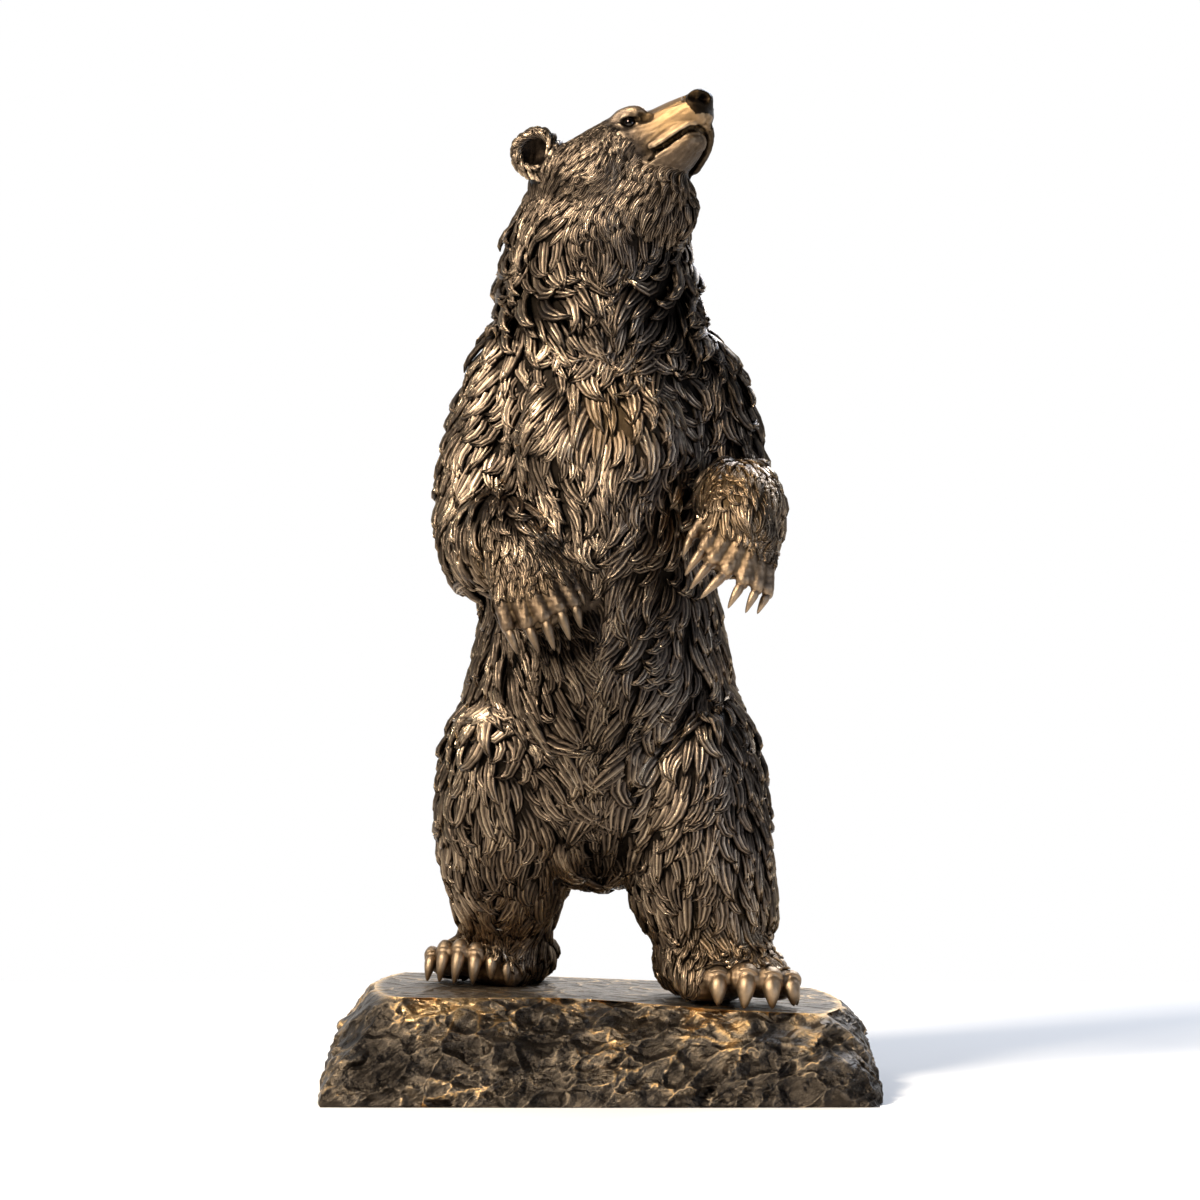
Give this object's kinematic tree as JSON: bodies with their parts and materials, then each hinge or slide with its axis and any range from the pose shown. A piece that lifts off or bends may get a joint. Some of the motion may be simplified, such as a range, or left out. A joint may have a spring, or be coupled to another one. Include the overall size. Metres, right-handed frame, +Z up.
{
  "type": "bronze bear sculpture",
  "caption": "Standing bear cast in bronze with carved fur, head raised and turned, on a rough-hewn rock base with a flat underside that it stands on.",
  "frame": {"origin": "centre of the rock base's flat underside", "axes": "+Z up, the bear's chest faces -Y, its raised head turns towards +X"},
  "size_m": [1.276, 0.9, 2.3004],
  "materials": {
    "patinated_bronze": "brown patina over bronze, rubbed golden on the raised locks, dark in the recesses",
    "patinated_bronze_rock": "brown patina over bronze, satin on the top and rubbed golden on the hewn edges of the sides"
  },
  "bodies": {
    "root": {"bear": "patinated_bronze", "rock_base": "patinated_bronze_rock"}
  },
  "joints": []
}
